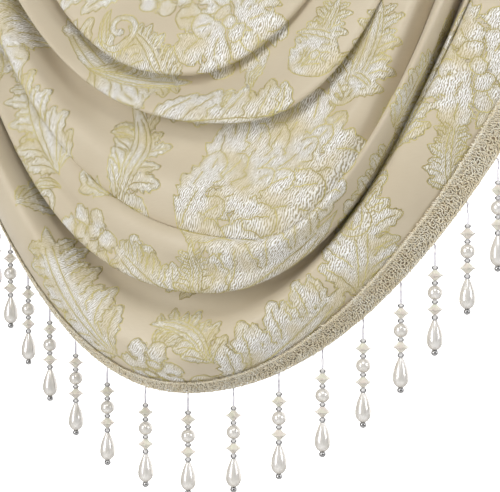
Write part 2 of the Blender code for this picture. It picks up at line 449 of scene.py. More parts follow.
def flatten(grid):
    """Flat coordinates, in metres, of every point of the grid."""
    rows = every(grid.shape[0], FLATTEN_STEP)
    columns = every(grid.shape[1], FLATTEN_STEP)
    coarse = grid[np.ix_(rows, columns)]
    m, n = coarse.shape[:2]
    found, true_area = unwrapped(coarse.reshape(-1, 3), grid_quads(m, n))
    found = found.reshape(m, n, 2)
    a = found[:-1, :-1] - found[1:, 1:]
    b = found[:-1, 1:] - found[1:, :-1]
    flat_area = np.abs(a[..., 0] * b[..., 1] - a[..., 1] * b[..., 0]).sum() / 2
    found = (found - found[0, n // 2]) * math.sqrt(true_area / flat_area)
    down = unit(found[-1, n // 2])
    found = np.stack((found @ np.array((-down[1], down[0])), -(found @ down)), axis=2)
    if found[m // 2, -1, 0] < found[m // 2, 0, 0]:
        found[..., 0] *= -1
    every_row = np.arange(grid.shape[0])
    every_column = np.arange(grid.shape[1])
    fine = np.zeros((*grid.shape[:2], 2))
    for i in range(2):
        wide = np.array([np.interp(every_column, columns, line) for line in found[..., i]])
        fine[..., i] = np.array([np.interp(every_row, rows, line) for line in wide.T]).T
    return fine


def cells(grid, row, column):
    """The grid cell at each fraction of rows and columns, and how far into it that is."""
    r = np.clip(row.astype(int), 0, grid.shape[0] - 2)
    c = np.clip(column.astype(int), 0, grid.shape[1] - 2)
    return r, c, (row - r)[:, None], (column - c)[:, None]


def locate(flat, targets):
    """Row and column, in fractions, at which each flat point lies, and whether it is on the cloth."""
    last_row, last_column = flat.shape[0] - 1, flat.shape[1] - 1
    coarse = flat[::SEED_STEP, ::SEED_STEP]
    wide = coarse.shape[1]
    seeds = []
    for part in np.array_split(targets, max(1, len(targets) // SEED_BATCH)):
        gaps = ((part[:, None, :] - coarse.reshape(1, -1, 2)) ** 2).sum(axis=2)
        seeds.append(gaps.argmin(axis=1))
    seeds = np.concatenate(seeds)
    row = (seeds // wide * SEED_STEP).astype(float)
    column = (seeds % wide * SEED_STEP).astype(float)
    for _ in range(LOOKUP_ROUNDS):
        r, c, dr, dc = cells(flat, row, column)
        a, b, d, e = flat[r, c], flat[r + 1, c], flat[r, c + 1], flat[r + 1, c + 1]
        here = mix(mix(a, b, dr), mix(d, e, dr), dc)
        by_row = mix(b - a, e - d, dc)
        by_column = mix(d - a, e - b, dr)
        miss = targets - here
        area = by_row[:, 0] * by_column[:, 1] - by_row[:, 1] * by_column[:, 0]
        area = np.where(np.abs(area) < SMALLEST_AREA, SMALLEST_AREA, area)
        row_move = (miss[:, 0] * by_column[:, 1] - miss[:, 1] * by_column[:, 0]) / area
        column_move = (by_row[:, 0] * miss[:, 1] - by_row[:, 1] * miss[:, 0]) / area
        row = np.clip(row + row_move.clip(-LARGEST_MOVE, LARGEST_MOVE), 0, last_row)
        column = np.clip(column + column_move.clip(-LARGEST_MOVE, LARGEST_MOVE), 0, last_column)
    on_cloth = np.linalg.norm(miss, axis=1) < LARGEST_MISS
    return row, column, on_cloth


def sample(grid, row, column):
    """Values of a grid at fractions of rows and columns."""
    r, c, dr, dc = cells(grid, row, column)
    upper = mix(grid[r, c], grid[r, c + 1], dc)
    lower = mix(grid[r + 1, c], grid[r + 1, c + 1], dc)
    return mix(upper, lower, dr)


# The damask's figures, each a list of shapes: a closed outline and its ribs, on the flat cloth

def bent_line(foot, heading, bend, length, count=LEAF_POINTS):
    """Points on a line that sets off at heading and turns by bend, and the way to its left."""
    angle = heading + bend * np.linspace(0, 1, count)
    steps = np.stack((np.cos(angle), np.sin(angle)), axis=1) * (length / (count - 1))
    line = np.cumsum(steps, axis=0) - steps[0] + foot
    return line, np.stack((-np.sin(angle), np.cos(angle)), axis=1)


def leaf(foot, heading, bend, length, width, widest=0.42, teeth=0, ribs=1):
    """One leaf or petal, its edge cut into hooked teeth: its outline, and its ribs side by side."""
    line, sideways = bent_line(foot, heading, bend, length)
    t = np.linspace(0, 1, len(line))
    power = math.log(0.5) / math.log(widest)
    half = width / 2 * np.sin(np.pi * t ** power) ** LEAF_FULLNESS
    if teeth:
        half = half * (TOOTH_FOOT + TOOTH_RISE * (t * teeth % 1))
    half = half[:, None]
    outline = np.concatenate((line + sideways * half, (line - sideways * half)[::-1]))
    last = int(len(line) * RIB_END)
    shares = [0.0] if ribs == 1 else np.linspace(-RIB_SPREAD, RIB_SPREAD, ribs)
    return outline, [(line + sideways * half * share)[RIB_START:last] for share in shares]


def leaf_figure(foot, heading, bend, size):
    """A single leaf with three ribs."""
    return [leaf(foot, heading, bend, size, size * 0.5, widest=0.6, teeth=3, ribs=3)]


def lobes(line, heading, bend, size, side, count, opened, curl):
    """Lobes up one side of a stem, the highest first, opened and curling by these degrees."""
    shapes = []
    for i in range(count - 1, -1, -1):
        share = 0.04 + 0.82 * i / (count - 1)
        long = size * (0.36 - 0.16 * share + 0.06 * (i % 2))
        shapes.append(leaf(
            line[int(share * (STEM_POINTS - 1))], heading + bend * share + side * math.radians(opened),
            side * math.radians(curl), long, long * 0.42, widest=0.56,
            teeth=5 if size > 0.07 else 4, ribs=1,
        ))
    return shapes


def plume_figure(foot, heading, bend, size):
    """An acanthus leaf: hooked lobes up both sides of a broad bent body."""
    line, _ = bent_line(foot, heading, bend, size * 0.9, count=STEM_POINTS)
    left = lobes(line, heading, bend, size, side=1, count=7, opened=34, curl=44)
    right = lobes(line, heading, bend, size, side=-1, count=7, opened=34, curl=44)
    shapes = [shape for pair in zip(left, right) for shape in pair]
    return shapes + [leaf(foot, heading, bend, size, size * 0.17, widest=0.5, ribs=2)]


def wing_figure(foot, heading, bend, size):
    """A wing or flame: long curling lobes on the side that it bends to, short ones outside."""
    line, _ = bent_line(foot, heading, bend, size * 0.9, count=STEM_POINTS)
    side = 1 if bend > 0 else -1
    shapes = lobes(line, heading, bend, size * 1.1, side, count=7, opened=30, curl=50)
    shapes += lobes(line, heading, bend, size * 0.6, -side, count=6, opened=36, curl=-40)
    return shapes + [leaf(foot, heading, bend, size, size * 0.16, widest=0.5, ribs=2)]


def scroll_figure(centre, heading, bend, size):
    """A scroll: a band that starts thin and winds in to a round end, with two leaves outside."""
    hand = 1 if bend > 0 else -1
    t = np.linspace(0, 1, 64)
    angle = heading + hand * t * math.radians(430)
    radius = size * (1.15 - 0.86 * t)
    outward = np.stack((np.cos(angle), np.sin(angle)), axis=1)
    half = (size * 0.19 * np.minimum(1, t / 0.2) ** 0.6)[:, None]
    line = centre + outward * radius[:, None]
    outline = np.concatenate((line + outward * half, (line - outward * half)[::-1]))
    turned = heading + hand * math.pi / 2
    outer = leaf(line[10], heading + hand * 0.4, hand * 0.9, size * 1.5, size * 0.62, ribs=2)
    tail = leaf(line[3], turned + math.pi, -hand * 0.8, size * 2.1, size * 0.6, widest=0.4, ribs=2)
    bulb_foot = line[-1] - outward[-1] * size * 0.26
    bulb, _ = leaf(bulb_foot, angle[-1], 0, size * 0.5, size * 0.44, widest=0.5)
    return [tail, outer, (outline, []), (bulb, [])]


def rosette_figure(centre, heading, bend, size):
    """A rosette: rings of scalloped petals round a seed head."""
    shapes = []
    rings = [
        # petals, start, length, width, as shares of the size
        (8, 0.36, 0.64, 0.60),
        (6, 0.16, 0.50, 0.52),
        (4, 0.04, 0.32, 0.36),
    ]
    if size < 0.03:
        rings = [(7, 0.26, 0.74, 0.66), (4, 0.04, 0.44, 0.46)]
    for ring, (petals, start, length, width) in enumerate(rings):
        for i in range(petals):
            angle = heading + 2 * math.pi * (i + ring / 2) / petals
            foot = centre + np.array((math.cos(angle), math.sin(angle))) * start * size
            shapes.append(leaf(
                foot, angle, 0.5, length * size, width * size, widest=0.64,
                teeth=0 if ring else 3, ribs=1 if ring < 2 and size > 0.03 else 0,
            ))
    wide = size * 0.26
    return shapes + [leaf(centre - np.array((wide / 2, 0)), 0, 0, wide, wide, widest=0.5, ribs=0)]


def cone_figure(foot, heading, bend, size):
    """A seed cone: rows of pointed scales that overlap towards its foot."""
    line, sideways = bent_line(foot, heading, bend, size, count=STEM_POINTS)
    shapes = []
    rows = 9
    last = 34
    for row in range(rows, -1, -1):
        share = row / rows
        at = int(share * last)
        broad = size * 0.62 * math.sin(math.pi * (0.05 + 0.83 * share)) ** 0.9
        count = max(2, round(broad / size / 0.125)) + row % 2
        for i in range(count):
            aside = 2 * (i + 0.5) / count - 1
            place = line[at] + sideways[at] * aside * broad / 2
            here = heading + bend * share + aside * 0.7
            long = size * (0.23 + 0.05 * abs(aside))
            shapes.append(leaf(
                place, here, aside * 0.6, long, long * 0.76, widest=0.52, teeth=2 + row % 2,
            ))
    return shapes


FIGURE_KINDS = {
    "leaf": leaf_figure,
    "plume": plume_figure,
    "wing": wing_figure,
    "scroll": scroll_figure,
    "rosette": rosette_figure,
    "cone": cone_figure,
}


def figure_shapes(kind, x, y, points_to, bends, size):
    """The shapes of one figure, from its row in the list."""
    place = np.array((x, y)) / 1000
    return FIGURE_KINDS[kind](place, math.radians(points_to), math.radians(bends), size / 1000)


def woven_shapes(low, high):
    """Every shape of the repeating pattern that touches the flat cloth's box."""
    shapes = []
    for across_times in (-1, 0, 1):
        for down_times in (-1, 0, 1, 2):
            drop = (down_times - (across_times % 2) / 2) * REPEAT_DOWN
            move = np.array((across_times * REPEAT_ACROSS, drop))
            for row in FIGURES:
                for outline, ribs in figure_shapes(*row):
                    outline = outline + move
                    if (outline.max(axis=0) < low).any() or (outline.min(axis=0) > high).any():
                        continue
                    shapes.append((outline, [rib + move for rib in ribs]))
    return shapes


def inside(points, outline):
    """Whether each point lies inside a closed outline."""
    a = outline
    b = np.roll(outline, -1, axis=0)
    x, y = points[:, 0:1], points[:, 1:2]
    crosses = (a[None, :, 1] > y) != (b[None, :, 1] > y)
    rise = b[:, 1] - a[:, 1]
    rise = np.where(np.abs(rise) < TINY, TINY, rise)
    at = a[None, :, 0] + (y - a[None, :, 1]) * ((b[:, 0] - a[:, 0]) / rise)[None, :]
    return (crosses & (x < at)).sum(axis=1) % 2 == 1


def distance_to(points, line):
    """Distance from each point to a line of segments."""
    a, b = line[:-1], line[1:]
    way = b - a
    length = np.maximum((way ** 2).sum(axis=1), 1e-14)
    t = (((points[:, None, :] - a[None]) * way[None]).sum(axis=2) / length[None]).clip(0, 1)
    gap = points[:, None, :] - (a[None] + way[None] * t[:, :, None])
    return np.sqrt((gap ** 2).sum(axis=2)).min(axis=1)


class Places:
    """Flat points kept in order of x, so that those near a line are found quickly."""

    def __init__(self, points):
        self.points = points
        self.order = np.argsort(points[:, 0], kind="stable")
        self.x = points[self.order, 0]

    def near(self, line, margin):
        low, high = line.min(axis=0) - margin, line.max(axis=0) + margin
        some = self.order[np.searchsorted(self.x, low[0]):np.searchsorted(self.x, high[0])]
        y = self.points[some, 1]
        return some[(y > low[1]) & (y < high[1])]


def figure_depth(points, shapes):
    """How far each flat point lies inside the figures, in metres, negative outside them."""
    depth = np.full(len(points), -FIGURE_REACH)
    places = Places(points)
    for outline, _ in shapes:
        near = places.near(outline, FIGURE_REACH)
        if not len(near):
            continue
        closed = np.append(outline, outline[:1], axis=0)
        gap = distance_to(points[near], closed)
        signed = np.where(inside(points[near], outline), gap, -gap)
        depth[near] = np.maximum(depth[near], signed)
    return depth.clip(-FIGURE_REACH, FIGURE_REACH)


def line_distance(points, lines):
    """Distance from each flat point to the nearest visible outline or rib."""
    gap = np.full(len(points), FIGURE_REACH)
    places = Places(points)
    for line in lines:
        near = places.near(line, FIGURE_REACH)
        if len(near):
            gap[near] = np.minimum(gap[near], distance_to(points[near], line))
    return gap


def evenly(line, step):
    """The same line with its points this far apart."""
    along = np.append(0.0, np.cumsum(np.linalg.norm(np.diff(line, axis=0), axis=1)))
    count = max(3, round(along[-1] / step)) + 1
    at = np.linspace(0, along[-1], count)
    return np.stack((np.interp(at, along, line[:, 0]), np.interp(at, along, line[:, 1])), axis=1)


def visible_lines(shapes):
    """The lines sewn in gold: the figures' outer edge, all ribs, and a few of the inner edges.

    What a shape woven later hides is left out.
    """
    lines = []
    owners = []
    is_rib = []
    for order, (outline, ribs) in enumerate(shapes):
        closed = np.append(outline, outline[:1], axis=0)
        lines += [evenly(line, GOLD_STEP) for line in (closed, *ribs)]
        owners += [order] * (1 + len(ribs))
        is_rib += [False] + [True] * len(ribs)
    points = np.concatenate(lines)
    lengths = [len(line) for line in lines]
    owner = np.repeat(owners, lengths)
    inner_shows = (owner % 2 == 0) | np.repeat(is_rib, lengths)
    hidden = np.zeros(len(points), bool)
    places = Places(points)
    for order, (outline, _) in enumerate(shapes):
        near = places.near(outline, 0)
        near = near[(owner[near] != order) & ~hidden[near]]
        near = near[(owner[near] < order) | ~inner_shows[near]]
        if len(near):
            hidden[near] = inside(points[near], outline)
    return lines, np.split(~hidden, np.cumsum(lengths)[:-1])


def runs(flags):
    """Start and end of every run of true flags."""
    edges = np.flatnonzero(np.diff(np.concatenate(([0], flags.astype(int), [0]))))
    return zip(edges[::2], edges[1::2])


# Meshes

def make_piece(name, points, faces, materials, smooth=True):
    """A mesh object from points and faces, with its materials."""
    mesh = bpy.data.meshes.new(name)
    mesh.from_pydata(points.tolist(), [], faces.tolist() if hasattr(faces, "tolist") else faces)
    mesh.polygons.foreach_set("use_smooth", np.full(len(mesh.polygons), smooth))
    for material in materials:
        mesh.materials.append(material)
    piece = bpy.data.objects.new(name, mesh)
    bpy.context.scene.collection.objects.link(piece)
    return piece


def join(parts):
    """Several (points, faces) as one."""
    points = np.concatenate([p for p, _ in parts])
    starts = np.cumsum([0] + [len(p) for p, _ in parts[:-1]])
    faces = np.concatenate([f + start for (_, f), start in zip(parts, starts)])
    return points, faces


def tube_faces(rings, sides):
    """The quads round a tube of this many rings, each with this many points."""
    i, j = np.meshgrid(np.arange(rings - 1), np.arange(sides), indexing="ij")
    after = (j + 1) % sides
    corners = (i * sides + j, i * sides + after, (i + 1) * sides + after, (i + 1) * sides + j)
    return np.stack(corners, axis=2).reshape(-1, 4)


def cord(line, front, radius, sides=4):
    """A thin tube along a line, with one flat side's middle turned to the front."""
    along = unit(np.gradient(line, axis=0))
    up = unit(front - along * (front * along).sum(axis=1, keepdims=True))
    side = np.cross(along, up)
    turn = 2 * np.pi * (np.arange(sides) + 0.5) / sides
    ring = up[:, None] * np.cos(turn)[None, :, None] + side[:, None] * np.sin(turn)[None, :, None]
    points = (line[:, None] + ring * radius).reshape(-1, 3)
    return points, tube_faces(len(line), sides)


def ribbon(corners):
    """A tube whose corners run along these lines."""
    return np.stack(corners, axis=1).reshape(-1, 3), tube_faces(len(corners[0]), len(corners))


def turned_bead(profile, facets):
    """A bead turned about the vertical: profile has drops below its top and radii."""
    turn = 2 * np.pi * np.arange(facets) / facets
    circle = np.stack((np.cos(turn), np.sin(turn)), axis=1)
    points = np.zeros((len(profile), facets, 3))
    points[..., :2] = circle[None] * profile[:, 1][:, None, None]
    points[..., 2] = -profile[:, 0][:, None]
    return points.reshape(-1, 3), np.roll(tube_faces(len(profile), facets)[:, ::-1], 1, axis=1)


# Materials

class Recipe:
    """A material's node tree, with short calls to add nodes and join them."""

    def __init__(self, name):
        self.material = bpy.data.materials.new(name)
        self.material.use_nodes = True
        self.tree = self.material.node_tree
        self.shader = self.tree.nodes["Principled BSDF"]
        self.output = self.tree.nodes["Material Output"]

    def node(self, kind, inputs=None, **settings):
        made = self.tree.nodes.new("ShaderNode" + kind)
        for name, value in settings.items():
            setattr(made, name, value)
        for name, value in (inputs or {}).items():
            self.feed(made.inputs[name], value)
        return made

    def feed(self, socket, value):
        if isinstance(value, bpy.types.NodeSocket):
            self.tree.links.new(value, socket)
        else:
            socket.default_value = value

    def set(self, **values):
        for name, value in values.items():
            self.feed(self.shader.inputs[name.replace("_", " ")], value)

    def noise(self, vector, scale, detail=2.0, roughness=0.5):
        made = self.node("TexNoise", {
            "Vector": vector, "Scale": scale, "Detail": detail, "Roughness": roughness,
        })
        return made.outputs["Fac"]

    def moved(self, vector, scale=(1, 1, 1), turn=0.0):
        made = self.node("Mapping", {"Vector": vector, "Scale": scale, "Rotation": (0, 0, turn)})
        return made.outputs["Vector"]

    def stretch(self, value, low, high, to_low=0.0, to_high=1.0):
        made = self.node("MapRange", {
            "Value": value, "From Min": low, "From Max": high, "To Min": to_low, "To Max": to_high,
        })
        made.clamp = True
        return made.outputs["Result"]

    def math(self, how, a, b=0.0):
        made = self.node("Math", {0: a, 1: b}, operation=how)
        return made.outputs[0]

    def colours(self, share, first, second):
        made = self.node("Mix", {0: share, 6: first, 7: second}, data_type="RGBA")
        return made.outputs[2]

    def place(self):
        return self.node("TexCoord").outputs["Object"]

    def speckled(self, scale, first, second):
        """Two tones mixed by a noise."""
        return self.colours(self.noise(self.place(), scale, 1.0), first, second)

    def clouded(self, scale, detail, first, second):
        """Two tones in clouds with fairly plain middles."""
        cloud = self.noise(self.place(), scale, detail)
        return self.colours(self.stretch(cloud, 0.35, 0.65), first, second)

    def painted_rim(self, tone, low, high, most, painted_rim_tone):
        """Painted rim shading: a tone that turns to another towards the rim, by the Layer Weight
        facing.
        """
        rim = self.node("LayerWeight", {"Blend": 0.5}).outputs["Facing"]
        return self.colours(self.stretch(rim, low, high, 0.0, most), tone, painted_rim_tone)

    def bump(self, height, distance, strength=1.0, before=None):
        made = self.node("Bump", {"Height": height, "Distance": distance, "Strength": strength})
        if before is not None:
            self.feed(made.inputs["Normal"], before)
        return made.outputs["Normal"]


def rgb(red, green, blue):
    """A colour from its values on the screen, out of 255."""
    def straight(value):
        share = value / 255
        return share / 12.92 if share <= 0.04045 else ((share + 0.055) / 1.055) ** 2.4
    return (straight(red), straight(green), straight(blue), 1.0)


def damask_material(name, is_back=False):
    """Satin ground with raised figures of crinkled white thread, by how deep a point is in them; the
    crinkle's dark streaks and the golden darkening beside the gold lines are painted shade.
    """
    r = Recipe(name)
    flat = r.node("UVMap", uv_map="flat").outputs["UV"]
    depth = r.node("Attribute", attribute_name="figure_depth").outputs["Fac"]
    puff = r.node("Attribute", attribute_name="line_distance").outputs["Fac"]
    ragged = r.math("MULTIPLY", r.math("SUBTRACT", r.noise(flat, 900.0), 0.5), 0.0006)
    edge = r.math("ADD", depth, ragged)
    figure = r.stretch(edge, -0.0002, 0.0002)

    slant = r.moved(flat, (1.0, 1.0, 1.0), math.radians(32))
    crinkle = r.noise(r.moved(slant, (1700.0, 520.0, 1.0)), 1.0, 1.0, 0.5)
    aside = r.node("SeparateXYZ", {0: slant}).outputs["X"]
    waver = r.math("MULTIPLY", r.noise(flat, 260.0, 1.0), 14.0)
    phase = r.math("ADD", r.math("MULTIPLY", aside, 4600.0), waver)
    twill = r.math("ADD", r.math("MULTIPLY", r.math("SINE", phase), 0.5), 0.5)
    threads = r.math("ADD", r.math("MULTIPLY", crinkle, 0.72), r.math("MULTIPLY", twill, 0.28))
    # Painted shade: the crinkle's dark streaks between the lit threads stand in for the shade of its
    # relief.
    lit_thread = r.stretch(threads, 0.38, 0.56)
    patches = r.noise(flat, 42.0, 1.0)
    thread = r.colours(lit_thread, rgb(168, 159, 136), rgb(252, 252, 252))
    thread = r.colours(r.stretch(patches, 0.45, 0.67, 0.0, 0.60), thread, rgb(206, 190, 142))
    # Painted shade: the figures turn golden brown close to the gold lines, where the puffed cloth
    # dips.
    line_dip_shade = r.stretch(puff, 0.0006, 0.0026, 0.36, 0.0)
    thread = r.colours(line_dip_shade, thread, rgb(186, 172, 110))

    weft = r.noise(r.moved(flat, (160.0, 2600.0, 1.0), math.radians(8)), 1.0, 1.0)
    clouds = r.noise(flat, 14.0, 2.0)
    satin = r.colours(r.stretch(clouds, 0.35, 0.65), rgb(202, 190, 167), rgb(209, 198, 176))
    satin = r.colours(r.stretch(weft, 0.3, 0.7, 0.0, 0.25), satin, rgb(194, 181, 156))
    if is_back:
        thread = r.colours(0.65, thread, rgb(206, 196, 178))

    raised = r.stretch(depth, -0.0001, 0.0010)
    pillow = r.math("POWER", r.stretch(puff, 0.0, 0.0030), 0.5)
    body = r.math("MULTIPLY", raised, r.math("ADD", 0.45, r.math("MULTIPLY", pillow, 0.55)))
    normal = r.bump(body, 0.0008 if not is_back else 0.0001)
    rough_threads = r.math("MULTIPLY", figure, threads)
    normal = r.bump(rough_threads, 0.0006, 1.0, normal)
    normal = r.bump(weft, 0.00004, 0.5, normal)
    r.set(
        Base_Color=r.colours(figure, satin, thread),
        Roughness=r.stretch(figure, 0.0, 1.0, 0.46, 0.62),
        Normal=normal,
        Sheen_Weight=0.18,
        Sheen_Roughness=0.4,
        Specular_IOR_Level=0.4,
    )
    return r.material


def gold_material():
    """The fine gold thread round the figures, with paler and browner lengths, and painted glints along
    its twist.
    """
    r = Recipe("gold_thread")
    tone = r.clouded(60.0, 2.0, rgb(152, 134, 62), rgb(206, 194, 114))
    twist_and_glints = r.noise(r.place(), 1500.0, 1.0)
    # Painted highlight: pale glints along the twist.
    tone = r.colours(r.stretch(twist_and_glints, 0.4, 0.6, 0.0, 0.35), tone, rgb(232, 226, 184))
    r.set(Base_Color=tone, Roughness=0.5, Normal=r.bump(twist_and_glints, 0.0002, 0.5))
    return r.material


def gimp_material(name, shade):
    """Cream gimp cord, turned towards dark brown by the share shade: painted shade for the gaps
    between its threads.
    """
    r = Recipe(name)
    fibres = r.noise(r.place(), 760.0, 2.0)
    pale = r.clouded(70.0, 2.0, rgb(254, 250, 236), rgb(248, 238, 214))
    tone = r.colours(r.stretch(fibres, 0.38, 0.52), rgb(232, 218, 184), pale)
    # Painted shade: dark brown mixed in by the share shade, standing in for the shadow down between
    # the threads.
    tone = r.colours(shade, tone, rgb(124, 102, 64))
    r.set(Base_Color=tone, Roughness=0.8, Normal=r.bump(fibres, 0.0003, 0.6), Sheen_Weight=0.15)
    return r.material


def pearl_material():
    """Pearl white with a soft lustre, and painted shade and reflection that turn it greyer and warmer
    towards its rim.
    """
    r = Recipe("pearl")
    tone = r.clouded(160.0, 2.0, rgb(240, 238, 236), rgb(232, 229, 224))
    # Painted shade and reflection: greyer and warmer towards the rim.
    tone = r.painted_rim(tone, 0.15, 0.6, 0.6, rgb(176, 166, 150))
    r.set(
        Base_Color=tone, Roughness=0.22, Metallic=0.26,
        Coat_Weight=1.0, Coat_Roughness=0.12, Specular_IOR_Level=1.0,
    )
    return r.material


def star_material():
    """Cut beads of pale milky crystal, a little green or pink from facet to facet, with painted shade
    greying them towards the rim.
    """
    r = Recipe("milky_crystal")
    tone = r.clouded(190.0, 1.0, rgb(244, 244, 228), rgb(246, 236, 228))
    # Painted shade: greyer towards the rim.
    tone = r.painted_rim(tone, 0.3, 0.9, 0.5, rgb(176, 166, 148))
    r.set(Base_Color=tone, Roughness=0.14, Transmission_Weight=0.12, Coat_Weight=0.6)
    return r.material


def clear_material():
    """Clear glass of the seed beads: bright in the middle, with painted dark reflections at their left
    and right.
    """
    r = Recipe("clear_glass")
    tone = r.speckled(400.0, rgb(238, 238, 242), rgb(250, 250, 250))
    # Painted reflection: the left and right rims turn dark grey, as glass does when it shows dark
    # surroundings.
    rim = r.node("LayerWeight", {"Blend": 0.5}).outputs["Facing"]
    upward = r.node("SeparateXYZ", {0: r.node("TexCoord").outputs["Normal"]}).outputs["Z"]
    level = r.stretch(r.math("ABSOLUTE", upward), 0.30, 0.85, 1.0, 0.0)
    painted_dark_rims = r.math("MULTIPLY", r.stretch(rim, 0.06, 0.26), level)
    tone = r.colours(painted_dark_rims, tone, rgb(60, 58, 64))
    r.set(Base_Color=tone, Roughness=0.06, Transmission_Weight=0.15, Coat_Weight=1.0, IOR=1.5)
    return r.material


def thread_material():
    """The white nylon threads of the strands."""
    r = Recipe("nylon_thread")
    r.set(Base_Color=r.speckled(500.0, rgb(200, 198, 212), rgb(228, 228, 236)), Roughness=0.35)
    return r.material


def silver_material():
    """The metal end beads."""
    r = Recipe("silver_end")
    tone = r.speckled(300.0, rgb(150, 150, 154), rgb(190, 190, 190))
    r.set(Base_Color=tone, Roughness=0.2, Metallic=1.0)
    return r.material


# Pieces

def add_flat_map(piece, flat):
    """Each corner's place on the flat cloth, in metres, as a UV map."""
    mesh = piece.data
    corners = np.zeros(len(mesh.loops), int)
    mesh.loops.foreach_get("vertex_index", corners)
    mesh.uv_layers.new(name="flat").data.foreach_set("uv", flat[corners].astype(np.float32).ravel())


def add_values(piece, name, values):
    """One number for every point of a piece, for its material to read."""
    attribute = piece.data.attributes.new(name, "FLOAT", "POINT")
    attribute.data.foreach_set("value", values.astype(np.float32))


def cloth_faces(rows, columns):
    """Front quads, back quads on every third line, and the rim that joins the two."""
    index = np.arange(rows * columns).reshape(rows, columns)
    back_rows, back_columns = every(rows, BACK_STEP), every(columns, BACK_STEP)
    back = rows * columns + np.arange(len(back_rows) * len(back_columns))
    back = back.reshape(len(back_rows), len(back_columns))
    front_faces = grid_quads(rows, columns).tolist()
    back_faces = (grid_quads(len(back_rows), len(back_columns))[:, ::-1] + rows * columns).tolist()
    rim = []
    sides = (
        (index[0], back[0], back_columns, False),
        (index[-1], back[-1], back_columns, True),
        (index[:, 0], back[:, 0], back_rows, True),
        (index[:, -1], back[:, -1], back_rows, False),
    )
    for fine, coarse, at, flip in sides:
        for i in range(len(at) - 1):
            face = [*fine[at[i]:at[i + 1] + 1].tolist(), int(coarse[i + 1]), int(coarse[i])]
            rim.append(face[::-1] if flip else face)
    return front_faces, back_faces, rim, back_rows, back_columns


def build_cloth(grid, flat, shapes, lines):
    """The damask: a thin closed sheet, finely divided in front."""
    rows, columns = grid.shape[:2]
    normals = normals_of(grid)
    front_faces, back_faces, rim, back_rows, back_columns = cloth_faces(rows, columns)
    half = normals * CLOTH_THICKNESS / 2
    pick = np.ix_(back_rows, back_columns)
    points = np.concatenate(((grid + half).reshape(-1, 3), (grid - half)[pick].reshape(-1, 3)))
    places = np.concatenate((flat.reshape(-1, 2), flat[pick].reshape(-1, 2)))
    materials = [damask_material("damask_front"), damask_material("damask_back", is_back=True)]
    piece = make_piece("damask_swag", points, front_faces + back_faces + rim, materials)
    is_back = np.arange(len(piece.data.polygons)) >= len(front_faces)
    piece.data.polygons.foreach_set("material_index", is_back.astype(int))
    add_flat_map(piece, places)
    add_values(piece, "figure_depth", figure_depth(places, shapes))
    add_values(piece, "line_distance", line_distance(places, lines))
    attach(piece, "root")
    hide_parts("swag_cloth")
    return piece


def build_gold(grid, normals, flat, lines, seen):
    """The gold thread along every outline and rib that shows."""
    parts = []
    chance = np.random.default_rng(5)
    row, column, on_cloth = locate(flat, np.concatenate(lines))
    splits = np.cumsum([len(line) for line in lines])[:-1]
    for r, c, ok, show in zip(*(np.split(values, splits) for values in (row, column, on_cloth)), seen):
        for start, end in runs(ok & show):
            if end - start < SHORTEST_RUN:
                continue
            shake = chance.normal(0, GOLD_WANDER, (2, end - start))
            line = sample(grid, r[start:end] + shake[0], c[start:end] + shake[1])
            front = unit(sample(normals, r[start:end], c[start:end]))
            parts.append(gold_ridge(line + front * (CLOTH_THICKNESS / 2), front))
    points, faces = join(parts)
    piece = make_piece("gold_outlines", points, faces, [gold_material()])
    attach(piece, "root")
    return piece


def gold_ridge(line, front):
    """A low ridge of thread lying on the cloth along a line."""
    along = unit(np.gradient(line, axis=0))
    side = unit(np.cross(along, front))
    sunk = line - front * GOLD_SUNK
    top = line + front * GOLD_HEIGHT
    section = (sunk + side * GOLD_HALF_WIDTH, top, sunk - side * GOLD_HALF_WIDTH)
    points = np.stack(section, axis=1).reshape(-1, 3)
    i = np.arange(len(line) - 1)[:, None] * 3 + np.arange(2)[None]
    faces = np.stack((i, i + 1, i + 4, i + 3), axis=2)
    return points, faces.reshape(-1, 4)


def hem_frames(u):
    """The hem's points, the ways along it and down past it, and its front normals."""
    stops = all_stops(u)
    hem, above = stops[-1], stops[-2]
    before = all_stops(np.maximum(u - HEM_STEP, 0.0))[-1]
    after = all_stops(np.minimum(u + HEM_STEP, 1.0))[-1]
    along = unit(after - before)
    down = hem - above
    down = unit(down - along * (down * along).sum(axis=1, keepdims=True))
    return hem, along, down, np.cross(down, along)


def hem_shares(spacing):
    """Shares of the way across at this spacing along the hem, between the trimmed ends."""
    hem = all_stops(np.linspace(0, 1, HEM_POINTS))[-1]
    length = np.linalg.norm(np.diff(hem, axis=0), axis=1).sum()
    count = int(length * (1 - 2 * TRIM_ENDS) / spacing)
    return np.linspace(TRIM_ENDS, 1 - TRIM_ENDS, count + 1)


def curl(start, reach, lift, sway):
    """A short loop of cord: out of the band at start, round, and back in at start + reach."""
    t = np.linspace(0, 1, CURL_POINTS)[:, None]
    arch = np.sin(np.pi * t)
    wave = np.sin(2 * np.pi * t)
    return start + reach * (t + CURL_BULGE * wave) + lift * arch + sway * wave


